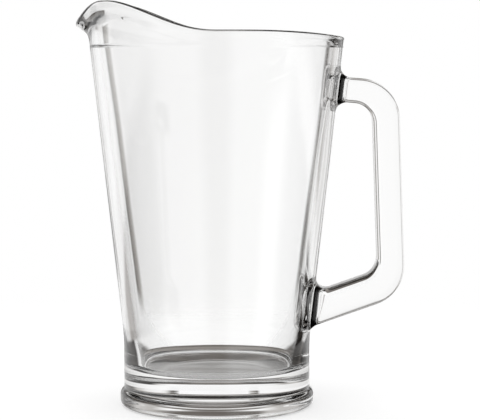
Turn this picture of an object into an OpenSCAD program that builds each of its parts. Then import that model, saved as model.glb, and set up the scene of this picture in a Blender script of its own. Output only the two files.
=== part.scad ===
// Pressed glass beer pitcher: a tapered vessel with a raised pouring lip and a loop handle.
// Millimetres, +Z up, origin on the table at the vessel's axis.
// The pouring lip points along -X and the handle along +X.

/* [Foot and heel] */
// Widest diameter of the foot bead
foot_d = 115.4; // [112:0.2:124]
// Height of the foot bead
foot_h = 11.2; // [9:0.1:13]
// Radius of the bead's rounded top, above its upright band
bead_r = 5; // [4:0.1:6]
// Radius of the crease between the bead and the heel
crease_r = 2; // [1:0.1:4]
// Radius of the foot's lower edge
foot_edge_r = 3.4; // [0.4:0.1:4]
// Width of the flat ring that the foot rests on
rest_w = 2.4; // [1.5:0.1:12]
// Depth of the domed hollow inside the resting ring
hollow_h = 1.7; // [0.5:0.1:3]
// Diameter of the straight heel above the foot
heel_d = 110.8; // [104:0.2:111]
// Height at which the heel turns into the taper
heel_h = 41; // [32:1:50]
// Radius of the soft turn from heel to taper
heel_turn_r = 150; // [60:10:200]

/* [Wall] */
// Outer diameter of the wall at the mould line
rim_d = 149.6; // [135:0.2:165]
// Height of the mould line below the rim
mould_h = 213.3; // [190:0.1:240]
// Wall thickness at the mould line
rim_wall = 5.6; // [4:0.1:8]
// Wall thickness at the top of the heel
heel_wall = 6.8; // [5:0.1:10]
// Thickness of the glass under the inside floor
floor_t = 22.4; // [14:0.2:28]
// Radius inside, where the floor turns up into the wall
floor_turn_r = 5; // [3:0.5:14]
// Step at the mould line, where the rim ring sits back from the wall
mould_step = 0.15; // [0.1:0.05:0.3]

/* [Rim and pouring lip] */
// Rise of the rim's crest above the mould line, at the handle
rim_back_rise = 5.5; // [4:0.1:9]
// Rise of the rim's crest above the mould line, at both sides
rim_side_rise = 9.1; // [5:0.1:14]
// Rise of the two shoulders that flank the lip
shoulder_rise = 25.7; // [16:0.1:32]
// Rise of the lip's pouring edge
lip_rise = 15; // [12:0.1:22]
// How far the lip's tip stands out from the rim's outside
lip_out = 8; // [3:0.1:14]
// Glass thickness at the rim's edge, at the handle and at both sides
rim_edge = 4.6; // [3.6:0.1:5.6]
// Glass thickness at the edge of the shoulders, which are drawn out thin
shoulder_edge = 2.6; // [2.2:0.1:4]
// Glass thickness at the lip's edge
lip_edge = 5; // [3:0.1:7]
// Lean of the lip's tip from the vertical
lip_lean = 51; // [30:1:60]
// Angle between the lip and the top of each shoulder, seen from above
shoulder_at = 36; // [32:1:46]
// Half the angle of the lip's nose, seen from above
nose_half = 38; // [30:1:48]
// Half the angle of the pouring dip between the shoulders
dip_half = 32; // [18:1:36]

/* [Handle] */
// Height at which the upper arm's middle meets the wall
upper_arm_h = 187.8; // [165:0.1:193]
// Downward slope of the upper arm
upper_arm_drop = 4.5; // [0:0.5:10]
// Thickness of the upper arm
upper_arm_t = 15; // [10:0.1:17]
// Gap for the fingers, from the wall to the grip under the upper arm
finger_gap = 19.8; // [18:0.1:32]
// Outward lean of the grip, from its top to its bottom
grip_lean = 2.1; // [0:0.1:5]
// Thickness of the grip
grip_t = 15.9; // [12:0.1:19]
// Height at which the lower arm's middle meets the wall
lower_arm_h = 56.8; // [48:0.1:80]
// Upward slope of the lower arm
lower_arm_rise = 19.4; // [5:0.1:28]
// Thickness of the lower arm
lower_arm_t = 18; // [12:0.1:19]
// Width of the handle across its face
handle_w = 21; // [16:0.5:28]
// Radius inside each bend of the loop
bend_in_r = 12; // [6:0.5:13]
// Radius outside each bend of the loop
bend_out_r = 24.5; // [18:0.5:28]
// Radius of the flare at each root
root_r = 6; // [3:0.5:7]

/* [Hidden] */
$fn = 96;

glass_tint = [0.84, 0.92, 0.91, 0.45];

// Steps along curves and round the rim
turn_steps = 6;
bead_steps = 8;
foot_steps = 4;
rim_steps = 100;
lip_steps = 6;
edge_steps = 6;
bend_steps = 8;
root_steps = 5;
section_sides = 24;

// How deep the rim ring reaches into the wall, and how far each of its sides draws in there
ring_sink = 3;
ring_draw_in = rim_wall / 4;
// How deep the handle's roots reach into the wall
root_sink = 4;
// How far the root flare's tangent lies inside the wall, so that the flare meets the wall at an angle
root_bite = 0.6;
// How soon the rings bend fully with the wall as the flare grows
bend_share = 2;
// Power of the handle's rounded section: 2 is an ellipse and more is squarer
section_power = 6.5;
// Angle from the lip at which the rim starts to rise, and where the dip at the handle starts
rise_from = 90;
back_dip_from = 105;
// Share of a lip curve's length that its wall end and its edge end keep straight
lip_root_pull = 0.75;
lip_edge_pull = 0.4;
// Height of the edge's rounding as a share of half the glass, away from the lip, where it is round
edge_share = 0.4;

heel_r = heel_d / 2;
rim_r = rim_d / 2;
taper = (rim_r - heel_r) / (mould_h - heel_h);
wall_lean = atan(taper);
bore_rim_r = rim_r - rim_wall;
bore_heel_r = heel_r - heel_wall;
bore_taper = (bore_rim_r - bore_heel_r) / (mould_h - heel_h);
bore_lean = atan(bore_taper);

// Radius of the outer taper and of the bore at a height
function outer_r(z) = heel_r + taper * (z - heel_h);
function bore_r(z) = bore_heel_r + bore_taper * (z - heel_h);

// Plane geometry shared by the outlines
function polar(r, a) = r * [cos(a), sin(a)];
function arc(c, r, from, to, n) = [for (i = [0 : n]) c + polar(r, from + (to - from) * i / n)];
function unit(v) = v / norm(v);
function cross2(a, b) = a[0] * b[1] - a[1] * b[0];
function line(p, a) = [p, polar(1, a)];
function shifted(l, d) = [l[0] + d * [-l[1][1], l[1][0]], l[1]];
function meet(l, m) = l[0] + l[1] * cross2(m[0] - l[0], m[1]) / cross2(l[1], m[1]);
function clamp01(t) = max(0, min(1, t));
function ease(t) = (1 - cos(180 * clamp01(t))) / 2;
function bezier(p, q, r, s, t) =
    p * pow(1 - t, 3) + q * 3 * t * pow(1 - t, 2) + r * 3 * t * t * (1 - t) + s * pow(t, 3);

// Arc of radius r that rounds the corner b between a and c
function rounded(a, b, c, r, n) =
    let (
        u = unit(a - b),
        v = unit(c - b),
        half = acos(u * v) / 2,
        centre = b + unit(u + v) * r / sin(half),
        start = b + u * r / tan(half) - centre,
        sweep = (cross2(-u, v) > 0 ? 1 : -1) * (180 - 2 * half)
    )
    arc(centre, r, atan2(start[1], start[0]), atan2(start[1], start[0]) + sweep, n);

// Outer outline of the pressed vessel, from the foot's resting ring up to the mould line
// The bead's arc and the crease's arc run into each other, inwards to the heel or outwards to a wider one
foot_edge_c = [foot_d / 2 - foot_edge_r, foot_edge_r];
foot_out = foot_d / 2 - heel_r;
inwards = foot_out < 0 ? -1 : 1;
bead_turn = acos(max(0, 1 - abs(foot_out) / (bead_r + crease_r)));
bead_c = [foot_d / 2 - inwards * bead_r, foot_h - bead_r];
crease_c = [heel_r + inwards * crease_r, bead_c[1] + (bead_r + crease_r) * sin(bead_turn)];
bead_from = inwards > 0 ? 0 : 180;
bead_to = bead_from + inwards * bead_turn;
turn_c = [heel_r + heel_turn_r, heel_h - heel_turn_r * tan(wall_lean / 2)];
outer_outline = concat(
    arc(foot_edge_c, foot_edge_r, -90, 0, foot_steps),
    arc(bead_c, bead_r, bead_from, bead_to, bead_steps),
    arc(crease_c, crease_r, bead_to + 180, bead_from + 180, foot_steps),
    arc(turn_c, heel_turn_r, 180, 180 - wall_lean, turn_steps),
    [[rim_r, mould_h]]
);

// Inside outline, from the mould line down to the middle of the floor
floor_turn_c = [
    bore_r(floor_t + floor_turn_r) - floor_turn_r / cos(bore_lean),
    floor_t + floor_turn_r
];
bore_outline = concat(
    [[bore_rim_r, mould_h]],
    arc(floor_turn_c, floor_turn_r, -bore_lean, -90, bead_steps),
    [[0, floor_t]]
);

// Underside: a shallow dome inside the resting ring
hollow_r = foot_d / 2 - foot_edge_r - rest_w;
dome_r = (hollow_r * hollow_r + hollow_h * hollow_h) / (2 * hollow_h);
under_outline = arc([0, hollow_h - dome_r], dome_r, 90, 90 - asin(hollow_r / dome_r), turn_steps);

// How much of the shoulders' rise shows at an angle from the lip
function shoulder(a) = ease((rise_from - a) / (rise_from - shoulder_at));

// Height of the rim's crest, at an angle from the lip
function crest_h(a) =
    mould_h + rim_side_rise
    + (rim_back_rise - rim_side_rise) * ease((a - back_dip_from) / (180 - back_dip_from))
    + (shoulder_rise - rim_side_rise) * shoulder(a)
    - (shoulder_rise - lip_rise) * ease((dip_half - a) / dip_half);

// How much of the lip's nose shows at an angle from the lip
function nose(a) = ease((nose_half - a) / nose_half);
function edge_r(a) =
    let (t = rim_edge + (shoulder_edge - rim_edge) * shoulder(a))
    (t + (lip_edge - t) * nose(a)) / 2;
function edge_h(a) = edge_r(a) * (edge_share + (1 - edge_share) * nose(a));
function lean(a) = wall_lean + (lip_lean - wall_lean) * nose(a);

// Middle of the rounded edge, at an angle from the lip
function edge_c(a) =
    let (z = crest_h(a) - edge_h(a))
    [outer_r(z) - edge_r(a) + (lip_out + rim_r - outer_r(z)) * nose(a), z];

// One upright section through the rim: up the outside, over the edge, down the inside and into the wall
function rim_section(a) =
    let (
        e = edge_r(a),
        tip = lean(a),
        c = edge_c(a),
        along = [sin(tip), cos(tip)],
        out = c + e * [cos(tip), -sin(tip)],
        inn = c - e * [cos(tip), -sin(tip)],
        out_root = [rim_r - mould_step, mould_h],
        inn_root = [bore_rim_r + mould_step, mould_h],
        out_l = norm(out - out_root),
        inn_l = norm(inn - inn_root),
        up = [sin(wall_lean), cos(wall_lean)]
    )
    concat(
        [[out_root[0] - ring_draw_in, mould_h - ring_sink]],
        [for (i = [0 : lip_steps])
            bezier(out_root, out_root + up * out_l * lip_root_pull,
                   out - along * out_l * lip_edge_pull, out, i / lip_steps)],
        [for (i = [1 : edge_steps - 1])
            c + (out - c) * cos(180 * i / edge_steps) + along * edge_h(a) * sin(180 * i / edge_steps)],
        [for (i = [0 : lip_steps])
            bezier(inn, inn - along * inn_l * lip_edge_pull,
                   inn_root + up * inn_l * lip_root_pull, inn_root, i / lip_steps)],
        [[inn_root[0] + ring_draw_in, mould_h - ring_sink]]
    );

// Closed ring of the rim and the pouring lip, swept round the axis
module rim_ring() {
    sides = len(rim_section(0));
    turns = [for (i = [0 : rim_steps - 1]) 360 * i / rim_steps];
    points = [
        for (t = turns)
            for (p = rim_section(min(t, 360 - t)))
                [-p[0] * cos(t), -p[0] * sin(t), p[1]]
    ];
    faces = [
        for (i = [0 : rim_steps - 1])
            for (j = [0 : sides - 1])
                let (
                    k = (i + 1) % rim_steps,
                    l = (j + 1) % sides,
                    a = i * sides + j,
                    b = i * sides + l,
                    c = k * sides + l,
                    d = k * sides + j
                )
                each [[a, b, c], [a, c, d]]
    ];
    polyhedron(points, faces);
}

module vessel_outside() {
    rotate_extrude() polygon(concat([[0, 0]], outer_outline, [[0, mould_h]]));
}

module body() {
    color(glass_tint) {
        rotate_extrude() polygon(concat(under_outline, outer_outline, bore_outline));
        rim_ring();
    }
}

// Straight runs of the loop, in the plane of the handle: X outwards and Z up
wall_line = line([outer_r(upper_arm_h), upper_arm_h], 90 - wall_lean);
root_line = shifted(wall_line, root_bite);
upper_axis = line([outer_r(upper_arm_h), upper_arm_h], -upper_arm_drop);
lower_axis = line([outer_r(lower_arm_h), lower_arm_h], lower_arm_rise);
grip_top = [
    outer_r(upper_arm_h) + finger_gap + grip_t / 2,
    upper_arm_h - upper_arm_t / 2
];
grip_axis = line(grip_top, -90 + grip_lean);

// Corners of the loop's outside (side 1) or inside (side -1), before rounding
function loop_corners(side) =
    let (
        upper = shifted(upper_axis, side * upper_arm_t / 2),
        grip = shifted(grip_axis, side * grip_t / 2),
        lower = shifted(lower_axis, -side * lower_arm_t / 2)
    )
    [meet(root_line, upper), meet(upper, grip), meet(grip, lower), meet(lower, root_line)];

// Rail along the loop's outside or inside, from the upper root to the lower root
function loop_rail(side) =
    let (
        c = loop_corners(side),
        along = side * root_line[1],
        bend_r = side > 0 ? bend_out_r : bend_in_r
    )
    concat(
        rounded(c[0] + along, c[0], c[1], root_r, root_steps),
        rounded(c[0], c[1], c[2], bend_r, bend_steps),
        rounded(c[1], c[2], c[3], bend_r, bend_steps),
        rounded(c[2], c[3], c[3] - along, root_r, root_steps)
    );

// How much of the roots' flare shows at each rail point
root_flare = [for (i = [0 : root_steps]) 1 - sin(90 * i / root_steps)];
flares = concat(
    root_flare,
    [for (i = [0 : 2 * bend_steps + 1]) 0],
    [for (i = [root_steps : -1 : 0]) root_flare[i]]
);

// How far the round wall falls back at a height and at a distance y from the handle's plane
function wall_back(y, z) = outer_r(z) - sqrt(pow(outer_r(z), 2) - y * y);

// One ring of the handle's section between an outside and an inside rail point
// Where the flare shows, the face grows wider and the ring bends with the wall
function ring(p, q, flare) = [
    for (i = [0 : section_sides - 1])
        let (
            s = sin(360 * i / section_sides),
            c = cos(360 * i / section_sides),
            along = sign(c) * pow(abs(c), 2 / section_power),
            across = sign(s) * pow(abs(s), 2 / section_power),
            m = (p + q) / 2 + (p - q) / 2 * along,
            y = (handle_w / 2 + root_r * flare) * across
        )
        [m[0] - wall_back(y, m[1]) * min(1, bend_share * flare), y, m[1]]
];

module loop() {
    outside = loop_rail(1);
    inside = loop_rail(-1);
    last = len(outside) - 1;
    sink = root_sink * [-root_line[1][1], root_line[1][0]];
    rings = concat(
        [ring(outside[0] + sink, inside[0] + sink, 1)],
        [for (i = [0 : last]) ring(outside[i], inside[i], flares[i])],
        [ring(outside[last] + sink, inside[last] + sink, 1)]
    );
    n = section_sides;
    sides = [
        for (i = [0 : len(rings) - 2])
            for (j = [0 : n - 1])
                let (
                    k = (j + 1) % n,
                    a = i * n + j,
                    b = i * n + k,
                    c = a + n,
                    d = b + n
                )
                each [[a, d, c], [a, b, d]]
    ];
    first_end = [for (j = [n - 1 : -1 : 0]) j];
    last_end = [for (j = [0 : n - 1]) (len(rings) - 1) * n + j];
    polyhedron([for (r = rings) each r], concat(sides, [first_end, last_end]));
}

module handle() {
    color(glass_tint) difference() {
        loop();
        vessel_outside();
    }
}

body();
handle();
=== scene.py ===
"""Looks of a pressed-glass beer pitcher: two pieces of glass, a white studio and a camera.

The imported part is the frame. The vessel and the handle stand for its two nodes, with the same
sizes and with the smooth, fire-polished surfaces that clear glass needs. The glass is drawn in
millimetres and scaled to metres when it is done. The studio and the camera are in metres.
"""

import logging
import math
from dataclasses import dataclass

import bmesh
import bpy
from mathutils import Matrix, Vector


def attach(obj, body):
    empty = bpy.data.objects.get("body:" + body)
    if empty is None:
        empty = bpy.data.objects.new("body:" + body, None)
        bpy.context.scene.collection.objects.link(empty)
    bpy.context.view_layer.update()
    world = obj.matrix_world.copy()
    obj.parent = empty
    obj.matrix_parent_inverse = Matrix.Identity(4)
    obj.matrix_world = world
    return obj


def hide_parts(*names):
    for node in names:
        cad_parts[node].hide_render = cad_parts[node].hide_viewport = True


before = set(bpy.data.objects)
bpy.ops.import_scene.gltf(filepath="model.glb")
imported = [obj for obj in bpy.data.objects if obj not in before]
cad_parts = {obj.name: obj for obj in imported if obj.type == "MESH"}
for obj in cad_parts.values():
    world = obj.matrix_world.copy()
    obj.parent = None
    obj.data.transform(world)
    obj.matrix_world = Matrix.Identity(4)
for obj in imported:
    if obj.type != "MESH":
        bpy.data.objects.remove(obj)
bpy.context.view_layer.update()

MM = 0.001
WELD = 1e-4  # Points nearer than this are one point, in millimetres.
FUSED = 1  # Place of the fused finish among a piece's finishes.
WHITE = (1.0, 1.0, 1.0, 1.0)
LOG = logging.getLogger("beer_pitcher")

Pairs = tuple[tuple[float, float], ...]


def clamp01(t: float) -> float:
    """Returns t limited to the range from 0 to 1."""
    return max(0.0, min(1.0, t))


def ease(t: float) -> float:
    """Returns a soft step from 0 to 1 as t goes from 0 to 1."""
    return (1 - math.cos(math.pi * clamp01(t))) / 2


def polar(r: float, degrees: float) -> Vector:
    """Returns the plane vector of length r at an angle."""
    turn = math.radians(degrees)
    return Vector((math.cos(turn), math.sin(turn))) * r


def arc(centre: Vector, r: float, start: float, end: float, steps: int) -> list[Vector]:
    """Points of an arc in the plane.

    Args:
        centre: Middle of the arc.
        r: Radius.
        start: Angle of the first point, in degrees.
        end: Angle of the last point, in degrees.
        steps: Number of chords.

    Returns:
        The arc's points, both ends included.
    """
    return [centre + polar(r, start + (end - start) * i / steps) for i in range(steps + 1)]


def straight(a: Vector, b: Vector, steps: int) -> list[Vector]:
    """Returns the points that divide the line from a to b, without a and without b."""
    return [a.lerp(b, i / steps) for i in range(1, steps)]


def bezier(points: list[Vector], t: float) -> Vector:
    """Point on a cubic curve.

    Args:
        points: The curve's four control points.
        t: Place along the curve, from 0 to 1.

    Returns:
        The point at t.
    """
    p, q, r, s = points
    u = 1 - t
    return p * u**3 + q * (3 * t * u**2) + r * (3 * t**2 * u) + s * t**3


@dataclass(frozen=True)
class Seat:
    """Patch of the wall where the handle is fused on: half its width, and the heights it spans."""

    half_w: float
    low: float
    high: float

    def mark(self, bm: bmesh.types.BMesh, faces: list[bmesh.types.BMFace]) -> None:
        """Cuts the patch out of some faces and gives it the fused finish.

        Args:
            bm: The mesh, in millimetres.
            faces: The faces to cut.
        """
        edges = dict.fromkeys(edge for face in faces for edge in face.edges)
        verts = dict.fromkeys(vert for face in faces for vert in face.verts)
        geom = faces + list(edges) + list(verts)
        across, up = Vector((0, 1, 0)), Vector((0, 0, 1))
        cuts = ((across, -self.half_w), (across, self.half_w), (up, self.low), (up, self.high))
        for way, at in cuts:
            cut = bmesh.ops.bisect_plane(bm, geom=geom, dist=WELD, plane_co=way * at, plane_no=way)
            geom = cut["geom"]
        for face in geom:
            if isinstance(face, bmesh.types.BMFace):
                middle = face.calc_center_median()
                if abs(middle.y) < self.half_w and self.low < middle.z < self.high:
                    face.material_index = FUSED


def finished(
    name: str, bm: bmesh.types.BMesh, finishes: tuple[bpy.types.Material, ...]
) -> bpy.types.Object:
    """Turns a mesh in millimetres into a shaded object of the part.

    Args:
        name: Name of the piece.
        bm: The mesh, which is freed.
        finishes: Its finishes, in the order of the faces' material numbers.

    Returns:
        The object, linked to the scene and at the origin.
    """
    bmesh.ops.scale(bm, vec=Vector((MM, MM, MM)), verts=bm.verts)
    bmesh.ops.recalc_face_normals(bm, faces=bm.faces)
    for face in bm.faces:
        face.smooth = True
    mesh = bpy.data.meshes.new(name)
    bm.to_mesh(mesh)
    bm.free()
    for finish in finishes:
        mesh.materials.append(finish)
    piece = bpy.data.objects.new(name, mesh)
    bpy.context.scene.collection.objects.link(piece)
    return piece


class Nodes:
    """Short way to place and join the nodes of one tree."""

    # How much warmer than grey the dark stops of a ramp are.
    warmth = 0.12
    # The Mix node's sockets for colours, whose names repeat for each type of data.
    mix_inputs = (0, 6, 7)
    mix_output = 2

    def __init__(self, tree: bpy.types.NodeTree) -> None:
        """Keeps the tree."""
        self.tree = tree

    def add(self, kind: str, **settings: object) -> bpy.types.Node:
        """Adds a node.

        Args:
            kind: The node's type.
            **settings: Values of its own settings.

        Returns:
            The node.
        """
        node = self.tree.nodes.new(kind)
        for name, value in settings.items():
            setattr(node, name, value)
        return node

    def feed(self, socket: bpy.types.NodeSocket, source: object) -> None:
        """Links a source to a socket, or sets the socket's own value.

        Args:
            socket: An input socket.
            source: An output socket, or a value.
        """
        if isinstance(source, bpy.types.NodeSocket):
            self.tree.links.new(source, socket)
        else:
            socket.default_value = source

    def math(self, operation: str, *sources: object) -> bpy.types.NodeSocket:
        """Adds a Math node.

        Args:
            operation: What it does.
            *sources: Its sockets or values, in order.

        Returns:
            Its result.
        """
        node = self.add("ShaderNodeMath", operation=operation)
        for socket, source in zip(node.inputs, sources):
            self.feed(socket, source)
        return node.outputs[0]

    def step(self, value: bpy.types.NodeSocket, low: float, high: float) -> bpy.types.NodeSocket:
        """Adds a soft step.

        Args:
            value: What is looked at.
            low: Where the step is 0.
            high: Where it is 1. This may lie below low.

        Returns:
            The step, from 0 to 1.
        """
        node = self.add("ShaderNodeMapRange", interpolation_type="SMOOTHSTEP")
        for socket, source in zip(node.inputs, (value, low, high)):
            self.feed(socket, source)
        return node.outputs["Result"]

    def ramp(self, factor: bpy.types.NodeSocket, stops: Pairs) -> bpy.types.NodeSocket:
        """Adds a ramp of greys that get warmer as they get darker.

        Args:
            factor: Place on the ramp, from 0 to 1.
            stops: Place and grey level of each stop, in order.

        Returns:
            The ramp's colour.
        """
        node = self.add("ShaderNodeValToRGB")
        elements = node.color_ramp.elements
        while len(elements) < len(stops):
            elements.new(1.0)
        for element, (place, grey) in zip(elements, stops):
            element.position = place
            warm = 1 - self.warmth * (1 - grey) ** 2
            element.color = (grey, grey * warm, grey * warm**2, 1)
        self.feed(node.inputs["Fac"], factor)
        return node.outputs["Color"]

    def noise(
        self, place: bpy.types.NodeSocket, scale: object, detail: float
    ) -> bpy.types.NodeSocket:
        """Adds a soft noise.

        Args:
            place: Coordinates.
            scale: How fine it is, a socket or a value.
            detail: How many finer layers it has.

        Returns:
            The noise, from about 0 to 1.
        """
        node = self.add("ShaderNodeTexNoise")
        for name, source in (("Vector", place), ("Scale", scale), ("Detail", detail)):
            self.feed(node.inputs[name], source)
        return node.outputs["Fac"]

    def mix(self, factor: object, a: object, b: object) -> bpy.types.NodeSocket:
        """Adds a mix of two colours.

        Args:
            factor: Share of the second colour, a socket or a value.
            a: The first colour.
            b: The second colour.

        Returns:
            The mixed colour.
        """
        node = self.add("ShaderNodeMix", data_type="RGBA")
        for place, source in zip(self.mix_inputs, (factor, a, b)):
            self.feed(node.inputs[place], source)
        return node.outputs[self.mix_output]

    def parts(self, vector: bpy.types.NodeSocket) -> bpy.types.NodeOutputs:
        """Adds a node that takes a vector apart.

        Args:
            vector: The vector.

        Returns:
            Its outputs X, Y and Z.
        """
        node = self.add("ShaderNodeSeparateXYZ")
        self.feed(node.inputs[0], vector)
        return node.outputs

    def glass_ray(self) -> bpy.types.NodeSocket:
        """Returns 1 for a ray that glass reflects or refracts, and 0 for any other."""
        path = self.add("ShaderNodeLightPath").outputs
        return self.math("MAXIMUM", path["Is Glossy Ray"], path["Is Transmission Ray"])


@dataclass(frozen=True)
class GlassSurface:
    """Surface that both pieces of glass share.

    It has slow waves from the mould, faint streaks and a worn resting ring.
    """

    name: str = "pressed_glass_surface"
    drawn_out: float = 0.4
    wave_detail: float = 1.0
    streak_scale: float = 18.0
    streak_detail: float = 3.0
    streak_band: tuple[float, float] = (0.35, 0.7)
    streak_tint: tuple[float, float, float, float] = (0.995, 0.997, 0.995, 1.0)
    worn_to: tuple[float, float] = (0.0006, 0.0001)
    worn_scale: float = 1200.0
    worn_detail: float = 2.0
    worn_roughness: float = 0.25

    def group(self) -> bpy.types.NodeTree:
        """Builds the shader node group.

        Returns:
            The group, which gives a tint, a roughness and a height, and no shader.
        """
        tree = bpy.data.node_groups.new(self.name, "ShaderNodeTree")
        sockets = (
            ("INPUT", "NodeSocketFloat", ("Wave Scale", "Wave Height", "Roughness")),
            ("OUTPUT", "NodeSocketColor", ("Tint",)),
            ("OUTPUT", "NodeSocketFloat", ("Roughness", "Height")),
        )
        for way, kind, names in sockets:
            for name in names:
                tree.interface.new_socket(name, in_out=way, socket_type=kind)
        n = Nodes(tree)
        given, made = n.add("NodeGroupInput").outputs, n.add("NodeGroupOutput").inputs
        place = n.add("ShaderNodeTexCoord").outputs["Object"]
        mapping = n.add("ShaderNodeMapping")
        n.feed(mapping.inputs["Vector"], place)
        n.feed(mapping.inputs["Scale"], (1, 1, self.drawn_out))
        drawn = mapping.outputs["Vector"]
        wave = n.noise(drawn, given["Wave Scale"], self.wave_detail)
        n.feed(made["Height"], n.math("MULTIPLY", wave, given["Wave Height"]))
        streaks = n.step(n.noise(drawn, self.streak_scale, self.streak_detail), *self.streak_band)
        n.feed(made["Tint"], n.mix(streaks, WHITE, self.streak_tint))
        resting = n.step(n.parts(place)["Z"], *self.worn_to)
        rubbed = n.math("MULTIPLY", resting, n.noise(place, self.worn_scale, self.worn_detail))
        worn = n.math("MULTIPLY_ADD", rubbed, self.worn_roughness, given["Roughness"])
        n.feed(made["Roughness"], worn)
        return tree

    def shared(self) -> bpy.types.NodeTree:
        """Returns the group, which is built once."""
        return bpy.data.node_groups.get(self.name) or self.group()


@dataclass(frozen=True)
class GlassFinish:
    """Clear soda-lime glass."""

    name: str
    wave_scale: float = 24.0
    wave_height: float = 0.0003
    roughness: float = 0.0
    ior: float = 1.5

    def material(self) -> bpy.types.Material:
        """Builds the finish.

        Returns:
            Its material.
        """
        made = bpy.data.materials.new(self.name)
        made.use_nodes = True
        n = Nodes(made.node_tree)
        surface = n.add("ShaderNodeGroup", node_tree=GlassSurface().shared())
        given = (self.wave_scale, self.wave_height, self.roughness)
        for socket, value in zip(surface.inputs, given):
            n.feed(socket, value)
        waves = n.add("ShaderNodeBump")
        n.feed(waves.inputs["Distance"], 1.0)
        n.feed(waves.inputs["Height"], surface.outputs["Height"])
        shader = made.node_tree.nodes["Principled BSDF"].inputs
        n.feed(shader["Base Color"], surface.outputs["Tint"])
        n.feed(shader["Roughness"], surface.outputs["Roughness"])
        n.feed(shader["Normal"], waves.outputs["Normal"])
        n.feed(shader["IOR"], self.ior)
        n.feed(shader["Transmission Weight"], 1.0)
        return made


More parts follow.
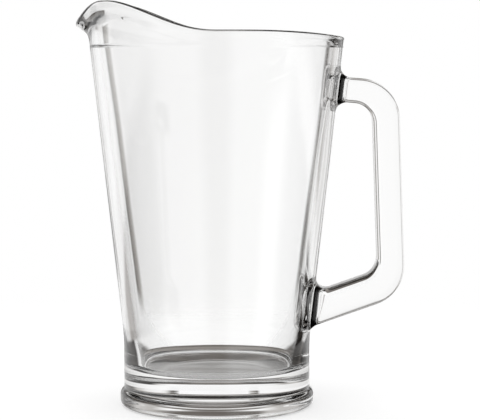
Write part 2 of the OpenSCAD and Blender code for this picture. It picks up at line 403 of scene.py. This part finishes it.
@dataclass
class Vessel:
    """The pressed vessel: foot bead, heel, tapered wall, thick floor, rim and pouring lip.

    Angles round the vessel are counted from the pouring lip, seen from above, in degrees.
    """

    # Foot and heel.
    foot_d: float = 115.4
    foot_h: float = 11.2
    bead_r: float = 5.0
    crease_r: float = 2.0
    foot_edge_r: float = 3.4
    rest_w: float = 2.4
    hollow_h: float = 1.7
    heel_d: float = 110.8
    heel_h: float = 41.0
    heel_turn_r: float = 150.0
    # Wall, floor and the step of the mould line.
    heel_wall: float = 6.8
    rim_wall: float = 5.6
    floor_t: float = 22.4
    floor_turn_r: float = 5.0
    rim_d: float = 149.6
    mould_h: float = 213.3
    mould_step: float = 0.15
    mould_slope: float = 0.3
    # Rim: rises above the mould line, thickness of the edge and where the forms begin.
    rim_back_rise: float = 5.5
    rim_side_rise: float = 9.1
    shoulder_rise: float = 25.7
    lip_rise: float = 15.0
    rim_edge: float = 4.6
    shoulder_edge: float = 2.6
    lip_edge: float = 5.0
    edge_share: float = 0.4
    lip_out: float = 8.0
    lip_lean: float = 51.0
    shoulder_at: float = 36.0
    nose_half: float = 38.0
    dip_half: float = 32.0
    rise_from: float = 90.0
    back_dip_from: float = 105.0
    lip_root_pull: float = 0.75
    lip_edge_pull: float = 0.4
    # Fineness of the mesh.
    spin_steps: int = 320
    hollow_steps: int = 16
    foot_steps: int = 6
    bead_steps: int = 12
    crease_steps: int = 8
    heel_steps: int = 8
    heel_turn_steps: int = 10
    wall_steps: int = 12
    floor_turn_steps: int = 16
    lip_steps: int = 14
    edge_steps: int = 24
    root_step: float = 0.015
    # How faces of the wall on the handle's side are told from others.
    wall_slack: float = 0.05
    beside_share: float = 0.7

    @property
    def heel_r(self) -> float:
        """Radius of the straight heel."""
        return self.heel_d / 2

    @property
    def rim_r(self) -> float:
        """Outer radius at the mould line."""
        return self.rim_d / 2

    @property
    def taper(self) -> float:
        """Growth of the outer radius for each millimetre of height."""
        return (self.rim_r - self.heel_r) / (self.mould_h - self.heel_h)

    @property
    def wall_lean(self) -> float:
        """Lean of the outer wall from the vertical, in degrees."""
        return math.degrees(math.atan(self.taper))

    @property
    def bore_lean(self) -> float:
        """Lean of the bore from the vertical, in degrees."""
        growth = self.bore_r(self.mould_h) - self.bore_r(self.heel_h)
        return math.degrees(math.atan(growth / (self.mould_h - self.heel_h)))

    @property
    def step_heights(self) -> tuple[float, float]:
        """Two heights just below the mould line, where the wall keeps its taper."""
        return self.mould_h - self.mould_slope * 2, self.mould_h - self.mould_slope

    def outer_r(self, z: float) -> float:
        """Outer radius of the taper at a height."""
        return self.heel_r + self.taper * (z - self.heel_h)

    def bore_r(self, z: float) -> float:
        """Radius of the bore at a height."""
        share = (z - self.heel_h) / (self.mould_h - self.heel_h)
        return self.outer_r(z) - self.heel_wall + (self.heel_wall - self.rim_wall) * share

    def shoulder(self, a: float) -> float:
        """Returns how much of the shoulder there is at an angle, from 0 to 1."""
        return ease((self.rise_from - a) / (self.rise_from - self.shoulder_at))

    def crest_h(self, a: float) -> float:
        """Height of the rim's crest.

        Args:
            a: Angle from the pouring lip.

        Returns:
            The height above the table.
        """
        back = ease((a - self.back_dip_from) / (180 - self.back_dip_from))
        dip = ease((self.dip_half - a) / self.dip_half)
        return (
            self.mould_h + self.rim_side_rise
            + (self.rim_back_rise - self.rim_side_rise) * back
            + (self.shoulder_rise - self.rim_side_rise) * self.shoulder(a)
            - (self.shoulder_rise - self.lip_rise) * dip
        )

    def rim_section(self, a: float) -> list[Vector]:
        """Section of the rim: up the outside, over the edge and down the inside.

        Args:
            a: Angle from the pouring lip.

        Returns:
            Points of radius and height, from the mould line back to the mould line.
        """
        nose = ease((self.nose_half - a) / self.nose_half)
        edge = self.rim_edge + (self.shoulder_edge - self.rim_edge) * self.shoulder(a)
        e = (edge + (self.lip_edge - edge) * nose) / 2
        tip = self.wall_lean + (self.lip_lean - self.wall_lean) * nose
        h = e * (self.edge_share + (1 - self.edge_share) * nose)
        z = self.crest_h(a) - h
        lip_out = (self.lip_out + self.rim_r - self.outer_r(z)) * nose
        c = Vector((self.outer_r(z) - e + lip_out, z))
        along = polar(1, 90 - tip)
        out, inn = c + polar(e, -tip), c - polar(e, -tip)
        up = polar(1, 90 - self.wall_lean)
        out_root = Vector((self.rim_r - self.mould_step, self.mould_h))
        inn_root = Vector((self.bore_r(self.mould_h) + self.mould_step, self.mould_h))
        out_l, inn_l = (out - out_root).length, (inn - inn_root).length
        outside = [
            out_root, out_root + up * out_l * self.lip_root_pull,
            out - along * out_l * self.lip_edge_pull, out,
        ]
        inside = [
            inn, inn - along * inn_l * self.lip_edge_pull,
            inn_root + up * inn_l * self.lip_root_pull, inn_root,
        ]
        steps = [i / self.lip_steps for i in range(self.lip_steps + 1)]
        over = arc(Vector((0, 0)), 1, 0, 180, self.edge_steps)[1:-1]
        return (
            [bezier(outside, t) for t in [0, self.root_step] + steps[1:]]
            + [c + (out - c) * p.x + along * h * p.y for p in over]
            + [bezier(inside, t) for t in steps[:-1] + [1 - self.root_step, 1]]
        )

    def outside(self) -> list[Vector]:
        """Outline of the outside below the rim.

        Returns:
            Points of radius and height, from the middle of the underside to the mould line.
        """
        foot_edge = Vector((self.foot_d / 2 - self.foot_edge_r, self.foot_edge_r))
        bead = Vector((self.foot_d / 2 - self.bead_r, self.foot_h - self.bead_r))
        f = self.crease_r
        run = self.heel_r + f - bead.x
        crease = Vector((self.heel_r + f, bead.y + math.sqrt((self.bead_r + f) ** 2 - run**2)))
        bead_top = math.degrees(math.atan2(crease.y - bead.y, run))
        turn_drop = self.heel_turn_r * math.tan(math.radians(self.wall_lean / 2))
        turn = Vector((self.heel_r + self.heel_turn_r, self.heel_h - turn_drop))
        hollow_r = foot_edge.x - self.rest_w
        dome_r = (hollow_r**2 + self.hollow_h**2) / (2 * self.hollow_h)
        dome_half = math.degrees(math.asin(hollow_r / dome_r))
        dome = Vector((0, self.hollow_h - dome_r))
        hollow = arc(dome, dome_r, 90, 90 - dome_half, self.hollow_steps)
        edge = arc(foot_edge, self.foot_edge_r, -90, 0, self.bead_steps)
        bulge = arc(bead, self.bead_r, 0, bead_top, self.bead_steps)
        fillet = arc(crease, f, bead_top + 180, 180, self.crease_steps)[1:]
        bend = arc(turn, self.heel_turn_r, 180, 180 - self.wall_lean, self.heel_turn_steps)
        wall_top = [Vector((self.outer_r(z), z)) for z in self.step_heights]
        return (
            hollow + straight(hollow[-1], edge[0], self.foot_steps)
            + edge + straight(edge[-1], bulge[0], self.foot_steps)
            + bulge + fillet + straight(fillet[-1], bend[0], self.heel_steps)
            + bend + straight(bend[-1], wall_top[0], self.wall_steps) + wall_top
        )

    def inside(self) -> list[Vector]:
        """Outline of the inside below the rim.

        Returns:
            Points of radius and height, from the mould line to the middle of the floor.
        """
        lean, r = self.bore_lean, self.floor_turn_r
        top = self.floor_t + r
        corner = Vector((self.bore_r(top) - r / math.cos(math.radians(lean)), top))
        mouth = [Vector((self.bore_r(z), z)) for z in self.step_heights[::-1]]
        turn = arc(corner, r, -lean, -90, self.floor_turn_steps)
        wall = straight(mouth[-1], turn[0], self.wall_steps)
        return mouth + wall + turn + [Vector((0, self.floor_t))]

    def is_wall(self, face: bmesh.types.BMFace, seat: Seat) -> bool:
        """Tells the outer wall's faces that a seat can lie on.

        Args:
            face: A face of the vessel, in millimetres.
            seat: The seat.

        Returns:
            Whether the face lies on the handle's side and reaches the seat's heights.
        """
        spots = [vert.co for vert in face.verts]
        heights = [p.z for p in spots]
        outside = all(abs(p.xy.length - self.outer_r(p.z)) < self.wall_slack for p in spots)
        beside = face.calc_center_median().x > self.heel_r * self.beside_share
        return outside and beside and max(heights) > seat.low and min(heights) < seat.high

    def mesh(self) -> bmesh.types.BMesh:
        """Spins the outline, then bends its rim to the section of each angle.

        Returns:
            The closed mesh, in millimetres.
        """
        outside, rim = self.outside(), self.rim_section(180)
        bm = bmesh.new()
        station = bm.verts.layers.int.new("station")
        chain = []
        for i, p in enumerate(outside + rim + self.inside()):
            vert = bm.verts.new((p.x, 0, p.y))
            vert[station] = i
            chain.append(vert)
        for a, b in zip(chain, chain[1:]):
            bm.edges.new((a, b))
        bmesh.ops.spin(
            bm, geom=bm.verts[:] + bm.edges[:], cent=(0, 0, 0), axis=(0, 0, 1), dvec=(0, 0, 0),
            angle=math.tau, steps=self.spin_steps, use_merge=True, use_duplicate=False,
        )
        first, last = len(outside), len(outside) + len(rim)
        sections: dict[float, list[Vector]] = {}
        for vert in bm.verts:
            if first <= vert[station] < last:
                turn = math.atan2(vert.co.y, vert.co.x)
                a = round(180 - abs(math.degrees(turn)), 3)
                if a not in sections:
                    sections[a] = self.rim_section(a)
                p = sections[a][vert[station] - first]
                vert.co = (p.x * math.cos(turn), p.x * math.sin(turn), p.y)
        bmesh.ops.remove_doubles(bm, verts=bm.verts, dist=WELD)
        return bm

    def build(
        self, finishes: tuple[bpy.types.Material, ...], seats: list[Seat]
    ) -> bpy.types.Object:
        """Makes the piece and places it.

        Args:
            finishes: The glass, and the glass where the handle is fused on.
            seats: Where the handle is fused on.

        Returns:
            The vessel, which stands for the node body.
        """
        bm = self.mesh()
        for seat in seats:
            seat.mark(bm, [face for face in bm.faces if self.is_wall(face, seat)])
        piece = finished("pitcher_vessel", bm, finishes)
        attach(piece, "root")
        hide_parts("body")
        return piece


@dataclass
class LoopHandle:
    """The loop handle, fused to the wall at an upper and a lower root."""

    vessel: Vessel
    # Arms, grip and bends.
    upper_arm_h: float = 187.8
    upper_arm_drop: float = 4.5
    upper_arm_t: float = 15.0
    finger_gap: float = 19.8
    grip_lean: float = 2.1
    grip_t: float = 15.9
    lower_arm_h: float = 56.8
    lower_arm_rise: float = 19.4
    lower_arm_t: float = 18.0
    handle_w: float = 21.0
    bend_in_r: float = 12.0
    bend_out_r: float = 24.5
    section_power: float = 6.5
    # Roots and their seats.
    root_r: float = 6.0
    root_bend: float = 2.0
    root_sink: float = 0.3
    seat_shares: tuple[float, ...] = (0.02, 0.25, 0.5, 0.75, 0.97, 1.0)
    seat_reach: float = 9.0
    fused_share: float = 0.9
    # Fineness of the mesh.
    section_sides: int = 64
    bend_steps: int = 24
    root_steps: int = 14
    run_steps: int = 10

    def line(self, p: Vector, degrees: float, shift: float = 0.0) -> tuple[Vector, Vector]:
        """Returns a line through p at an angle, shifted to its left."""
        d = polar(1, degrees)
        return p + Vector((-d.y, d.x)) * shift, d

    @staticmethod
    def meet(a: tuple[Vector, Vector], b: tuple[Vector, Vector]) -> Vector:
        """Returns the point where two lines cross."""
        gap = b[0] - a[0]
        return a[0] + a[1] * (gap.cross(b[1]) / a[1].cross(b[1]))

    @staticmethod
    def rounded(a: Vector, b: Vector, c: Vector, r: float, steps: int) -> list[Vector]:
        """Arc of radius r that rounds the corner b between a and c.

        Args:
            a: A point before the corner.
            b: The corner.
            c: A point after the corner.
            r: Radius of the arc.
            steps: Number of chords.

        Returns:
            The arc's points.
        """
        u, v = (a - b).normalized(), (c - b).normalized()
        half = math.acos(max(-1, min(1, u.dot(v)))) / 2
        centre = b + (u + v).normalized() * (r / math.sin(half))
        start = b + u * (r / math.tan(half)) - centre
        from_deg = math.degrees(math.atan2(start.y, start.x))
        sweep = math.copysign(180 - 2 * math.degrees(half), (-u).cross(v))
        return arc(centre, r, from_deg, from_deg + sweep, steps)

    def rail(self, side: int) -> list[Vector]:
        """Rail along one side of the loop.

        Args:
            side: 1 for the outside, -1 for the inside.

        Returns:
            Points of radius and height, from the upper root to the lower root.
        """
        v = self.vessel
        wall_top = Vector((v.outer_r(self.upper_arm_h), self.upper_arm_h))
        wall_low = Vector((v.outer_r(self.lower_arm_h), self.lower_arm_h))
        grip_top = Vector((
            wall_top.x + self.finger_gap + self.grip_t / 2, self.upper_arm_h - self.upper_arm_t / 2
        ))
        root = self.line(wall_top, 90 - v.wall_lean)
        upper = self.line(wall_top, -self.upper_arm_drop, side * self.upper_arm_t / 2)
        grip = self.line(grip_top, -90 + self.grip_lean, side * self.grip_t / 2)
        lower = self.line(wall_low, self.lower_arm_rise, -side * self.lower_arm_t / 2)
        sides = (root, upper, grip, lower, root)
        c = [self.meet(a, b) for a, b in zip(sides, sides[1:])]
        along = root[1] * side
        bend_r = self.bend_out_r if side > 0 else self.bend_in_r
        arcs = [
            self.rounded(c[0] + along, c[0], c[1], self.root_r, self.root_steps),
            self.rounded(c[0], c[1], c[2], bend_r, self.bend_steps),
            self.rounded(c[1], c[2], c[3], bend_r, self.bend_steps),
            self.rounded(c[2], c[3], c[3] - along, self.root_r, self.root_steps),
        ]
        points = list(arcs[0])
        for bend in arcs[1:]:
            points += straight(points[-1], bend[0], self.run_steps) + bend
        return points

    def root_share(self, count: int) -> list[float]:
        """How much of the root's flare shows along a rail.

        Args:
            count: Number of the rail's points.

        Returns:
            The share at each point, from 0 to 1.
        """
        n = self.root_steps
        flare = [1 - math.sin(math.pi / 2 * i / n) for i in range(n + 1)]
        return flare + [0.0] * (count - 2 * (n + 1)) + flare[::-1]

    def ring(self, out: Vector, inn: Vector, share: float) -> list[Vector]:
        """One ring of the section between an outside and an inside rail point.

        Args:
            out: Point of the outside rail.
            inn: Point of the inside rail.
            share: How much of the root's flare shows there. The ring bends with the wall by it.

        Returns:
            The ring's points, in millimetres.
        """
        points = []
        power = 2 / self.section_power
        half_w = self.handle_w / 2 + self.root_r * share
        for i in range(self.section_sides):
            t = math.tau * i / self.section_sides
            c, s = math.cos(t), math.sin(t)
            m = (out + inn) / 2 + (out - inn) / 2 * math.copysign(abs(c) ** power, c)
            y = half_w * math.copysign(abs(s) ** power, s)
            wall = self.vessel.outer_r(m.y)
            bend = (math.sqrt(wall**2 - y**2) - wall) * min(1.0, share * self.root_bend)
            points.append(Vector((m.x + bend, y, m.y)))
        return points

    def rings(self) -> list[list[Vector]]:
        """Rings of the section along the loop.

        Returns:
            The rings, from the upper root to the lower root.
        """
        outside, inside = self.rail(1), self.rail(-1)
        shares = self.root_share(len(outside))
        return [self.ring(o, i, s) for o, i, s in zip(outside, inside, shares)]

    def seat(self, ring: list[Vector]) -> list[list[Vector]]:
        """Rings that close a root just inside the wall and along its curve.

        Args:
            ring: The root's first ring, on the wall.

        Returns:
            Rings from the middle of the seat to its outline.
        """
        middle = sum(p.z for p in ring) / len(ring)
        rings = []
        for share in self.seat_shares:
            points = []
            for p in ring:
                y, z = p.y * share, middle + (p.z - middle) * share
                depth = math.sqrt(self.vessel.outer_r(z) ** 2 - y**2) - self.root_sink
                points.append(Vector((depth, y, z)))
            rings.append(points)
        return rings

    def seats(self) -> list[Seat]:
        """Finds the patches of the wall that the two roots are fused to.

        Returns:
            The upper and the lower patch.
        """
        made = []
        rings = self.rings()
        for ring in (rings[0], rings[-1]):
            low, high = min(p.z for p in ring), max(p.z for p in ring)
            middle, half_h = (low + high) / 2, (high - low) / 2 * self.fused_share
            half_w = max(p.y for p in ring) * self.fused_share
            made.append(Seat(half_w, middle - half_h, middle + half_h))
        return made

    def is_sunk(self, face: bmesh.types.BMFace) -> bool:
        """Returns whether a face lies just inside the wall."""
        deep = self.root_sink / 2
        return all(v.co.xy.length < self.vessel.outer_r(v.co.z) - deep for v in face.verts)

    def mesh(self) -> bmesh.types.BMesh:
        """Extrudes the section along the loop, from one seat to the other.

        Returns:
            The closed mesh, in millimetres.
        """
        rings = self.rings()
        rings = self.seat(rings[0]) + rings + self.seat(rings[-1])[::-1]
        bm = bmesh.new()
        bmesh.ops.create_circle(bm, cap_ends=False, radius=1, segments=self.section_sides)
        for vert, p in zip(bm.verts, rings[0]):
            vert.co = p
        edges = list(bm.edges)
        bmesh.ops.edgeloop_fill(bm, edges=edges)
        for points in rings[1:]:
            made = bmesh.ops.extrude_edge_only(bm, edges=edges)["geom"]
            edges = [
                g for g in made if isinstance(g, bmesh.types.BMEdge) and not g.link_faces[1:]
            ]
            verts = [g for g in made if isinstance(g, bmesh.types.BMVert)]
            for vert, p in zip(verts, points):
                vert.co = p
        bmesh.ops.edgeloop_fill(bm, edges=edges)
        return bm

    def build(self, finishes: tuple[bpy.types.Material, ...]) -> bpy.types.Object:
        """Makes the piece and places it.

        Args:
            finishes: The glass, and the glass where it is fused to the wall.

        Returns:
            The handle, which stands for the node handle.
        """
        bm = self.mesh()
        sunk = [face for face in bm.faces if self.is_sunk(face)]
        for seat in self.seats():
            low, high = seat.low - self.seat_reach, seat.high + self.seat_reach
            seat.mark(bm, [face for face in sunk if low < face.calc_center_median().z < high])
        piece = finished("pitcher_handle", bm, finishes)
        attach(piece, "root")
        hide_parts("handle")
        return piece


@dataclass(frozen=True)
class PhotoCamera:
    """Camera at the photograph's viewing angle."""

    place: tuple[float, float, float] = (0.0138, -1.150, 0.217)
    pitch_down: float = 5.02
    lens: float = 145.7

    def build(self) -> None:
        """Makes the camera and hands it to the scene."""
        camera = bpy.data.cameras.new("photo_camera")
        camera.lens = self.lens
        camera.sensor_fit = "HORIZONTAL"
        holder = bpy.data.objects.new("photo_camera", camera)
        holder.location = self.place
        holder.rotation_euler = (math.radians(90 - self.pitch_down), 0, 0)
        bpy.context.scene.collection.objects.link(holder)
        bpy.context.scene.camera = holder


@dataclass(frozen=True)
class Studio:
    """White floor, and soft panels with gaps between them, which the glass shows as dark lines.

    The panels lie in bands, one above the other. Each band lists azimuths with their grey level.
    Azimuth is 0 straight behind the object, as the photograph sees it, and positive to the right.
    The edges list the elevations between which each band gives way to the next. Only rays from
    glass see the bands; to all else the surroundings are white.
    """

    steep: Pairs = (
        (-180, 0.3), (-135, 0.3), (-115, 0.85), (-42, 0.85), (-37, 0.03), (-16, 0.03),
        (-11, 0.25), (11, 0.25), (16, 0.02), (98, 0.02), (112, 0.9), (160, 0.9), (172, 0.3),
        (180, 0.3),
    )
    near: Pairs = (
        (-180, 0.3), (-135, 0.3), (-115, 0.85), (-42, 0.85), (-37, 0.03), (-20, 0.05),
        (-14, 0.13), (20, 0.13), (30, 0.02), (98, 0.02), (112, 0.9), (160, 0.9), (172, 0.3),
        (180, 0.3),
    )
    gap: Pairs = (
        (-180, 0.25), (-135, 0.2), (-112, 0.015), (-56, 0.015), (-46, 0.5), (-34, 0.4),
        (-27, 0.8), (-12, 0.92), (20, 0.95), (27, 0.6), (32, 0.015), (98, 0.015), (112, 0.9),
        (160, 0.9), (172, 0.25), (180, 0.25),
    )
    table: Pairs = (
        (-180, 0.25), (-135, 0.25), (-115, 0.8), (-60, 0.75), (-20, 0.9), (20, 0.92), (60, 0.75),
        (98, 0.6), (112, 0.9), (160, 0.9), (172, 0.25), (180, 0.25),
    )
    walls: Pairs = (
        (-180, 0.25), (-165, 0.25), (-150, 0.2), (-128, 0.2), (-116, 0.9), (-60, 0.9),
        (-18.2, 0.9), (-17.3, 0.1), (-15.5, 0.25), (-13.6, 0.5), (-12.6, 0.93), (-11, 0.87),
        (2, 0.95), (14.2, 0.97), (16, 0.06), (18.5, 0.12), (20.5, 0.7), (24, 0.85), (33, 0.8),
        (38, 0.6), (44, 0.45), (50, 0.05), (96, 0.03), (114, 0.95), (158, 0.95), (172, 0.25),
        (180, 0.25),
    )
    low_sky: Pairs = (
        (-180, 0.1), (-70, 0.05), (-58, 0.12), (-46, 0.5), (-30, 0.5), (-23, 0.45), (-18, 0.13),
        (18, 0.13), (24, 0.22), (31, 0.42), (45, 0.5), (56, 0.12), (70, 0.05), (100, 0.1),
        (116, 0.85), (156, 0.85), (170, 0.1), (180, 0.1),
    )
    glow: Pairs = (
        (-180, 0.1), (-70, 0.05), (-58, 0.12), (-46, 0.5), (-30, 0.5), (-20, 0.9), (20, 0.9),
        (31, 0.42), (45, 0.5), (56, 0.12), (70, 0.05), (100, 0.1), (116, 0.85), (156, 0.85),
        (170, 0.1), (180, 0.1),
    )
    mid_sky: Pairs = (
        (-180, 0.1), (-60, 0.02), (-30, 0.12), (-20, 0.8), (20, 0.8), (30, 0.12), (60, 0.02),
        (180, 0.1),
    )
    sky: Pairs = (
        (-180, 0.1), (-60, 0.02), (-25, 0.12), (25, 0.12), (60, 0.02), (180, 0.1),
    )
    edges: Pairs = (
        (-29, -27), (-20, -18.5), (-11.8, -11.2), (-9.9, -9.5), (8, 9.5), (13.3, 14),
        (15.7, 16.4), (20, 24), (30, 33),
    )
    panel_gain: float = 1.08
    bounces: int = 18
    floor_r: float = 0.6
    floor_drop: float = 0.0003
    floor_sides: int = 96
    floor_grey: float = 0.6
    floor_glow: float = 0.52
    # Painted shade: how much dimmer glass rays see the floor's glow under the foot.
    painted_foot_shade: float = 0.15
    # Radii where the floor fades out, ends under the foot and begins again beyond it.
    floor_fade: tuple[float, float] = (0.1, 0.5)
    under: tuple[float, float] = (0.056, 0.062)
    beyond: tuple[float, float] = (0.125, 0.14)
    # Cosines of the angle from straight behind, within which it begins again.
    behind: tuple[float, float] = (0.97, 0.93)

    def world(self) -> bpy.types.World:
        """Builds the light and the panels.

        Returns:
            The world.
        """
        world = bpy.data.worlds.new("white_studio")
        world.use_nodes = True
        n = Nodes(world.node_tree)
        x, y, z = n.parts(n.add("ShaderNodeTexCoord").outputs["Generated"])
        round_share = n.math("MULTIPLY_ADD", n.math("ARCTAN2", x, y), 1 / math.tau, 0.5)
        up_share = n.math("MULTIPLY_ADD", n.math("ARCSINE", z), 1 / math.pi, 0.5)
        bands = (
            self.steep, self.near, self.gap, self.table, self.walls,
            self.low_sky, self.glow, self.low_sky, self.mid_sky, self.sky,
        )
        rings = [
            n.ramp(round_share, tuple((a / 360 + 0.5, grey) for a, grey in band)) for band in bands
        ]
        shown = rings[0]
        for (low, high), ring in zip(self.edges, rings[1:]):
            share = n.ramp(up_share, ((low / 180 + 0.5, 0.0), (high / 180 + 0.5, 1.0)))
            shown = n.mix(share, shown, ring)
        glass_sees = n.glass_ray()
        light = world.node_tree.nodes["Background"].inputs
        n.feed(light["Color"], n.mix(glass_sees, WHITE, shown))
        n.feed(light["Strength"], n.math("MULTIPLY_ADD", glass_sees, self.panel_gain - 1, 1.0))
        return world

    def floor_paint(self) -> bpy.types.Material:
        """Builds the floor's finish.

        Rays from glass see through it, in a ring round the foot, to the panels below; under the
        foot they see it dimmer, a painted shade.

        Returns:
            The material.
        """
        paint = bpy.data.materials.new("floor_paint")
        paint.use_nodes = True
        n = Nodes(paint.node_tree)
        place = n.add("ShaderNodeTexCoord").outputs["Object"]
        away = n.add("ShaderNodeVectorMath", operation="LENGTH")
        n.feed(away.inputs[0], place)
        r = away.outputs["Value"]
        glass_sees = n.glass_ray()
        aside = n.step(n.math("DIVIDE", n.parts(place)["Y"], r), *self.behind)
        within = n.math("MAXIMUM", n.step(r, *self.beyond[::-1]), aside)
        open_ring = n.math("MULTIPLY", n.step(r, *self.under), within)
        seen_through = n.math("MULTIPLY", open_ring, glass_sees)
        thinned = n.math("MAXIMUM", n.step(r, *self.floor_fade), seen_through)
        # Painted shade: glass rays see the floor's glow lowered under the foot.
        shaded = n.math("MULTIPLY", glass_sees, n.step(r, *self.under[::-1]))
        glow = n.math("MULTIPLY_ADD", shaded, -self.painted_foot_shade, self.floor_glow)
        shader = paint.node_tree.nodes["Principled BSDF"]
        n.feed(shader.inputs["Base Color"], (self.floor_grey,) * 3 + (1.0,))
        n.feed(shader.inputs["Specular IOR Level"], 0.0)
        n.feed(shader.inputs["Emission Color"], WHITE)
        n.feed(shader.inputs["Emission Strength"], glow)
        thin = n.add("ShaderNodeMixShader")
        clear = n.add("ShaderNodeBsdfTransparent")
        for socket, source in zip(thin.inputs, (thinned, shader.outputs[0], clear.outputs[0])):
            n.feed(socket, source)
        n.feed(paint.node_tree.nodes["Material Output"].inputs["Surface"], thin.outputs[0])
        return paint

    def floor(self) -> None:
        """Builds the round white floor, just below the foot."""
        bm = bmesh.new()
        bmesh.ops.create_circle(bm, cap_ends=True, radius=self.floor_r, segments=self.floor_sides)
        bmesh.ops.translate(bm, vec=Vector((0, 0, -self.floor_drop)), verts=bm.verts)
        mesh = bpy.data.meshes.new("studio_floor")
        bm.to_mesh(mesh)
        bm.free()
        mesh.materials.append(self.floor_paint())
        floor = bpy.data.objects.new("studio_floor", mesh)
        bpy.context.scene.collection.objects.link(floor)

    def build(self) -> None:
        """Makes the light and the floor."""
        scene = bpy.context.scene
        scene.view_settings.view_transform = "Standard"
        scene.cycles.max_bounces = self.bounces
        scene.cycles.transmission_bounces = self.bounces
        scene.world = self.world()
        self.floor()


def main() -> None:
    """Builds the camera, the studio and the two pieces of glass."""
    logging.basicConfig(level=logging.INFO, format="%(message)s")
    PhotoCamera().build()
    Studio().build()
    vessel = Vessel()
    handle = LoopHandle(vessel)
    vessel_glass = GlassFinish("vessel_glass")
    handle_glass = GlassFinish("handle_glass", wave_scale=55.0, wave_height=0.0001)
    fused = GlassFinish("fused_glass", wave_height=0.0, ior=1.0).material()
    pieces = (
        vessel.build((vessel_glass.material(), fused), handle.seats()),
        handle.build((handle_glass.material(), fused)),
    )
    for piece in pieces:
        LOG.info("%s: %d faces", piece.name, len(piece.data.polygons))


if __name__ == "__main__":
    main()
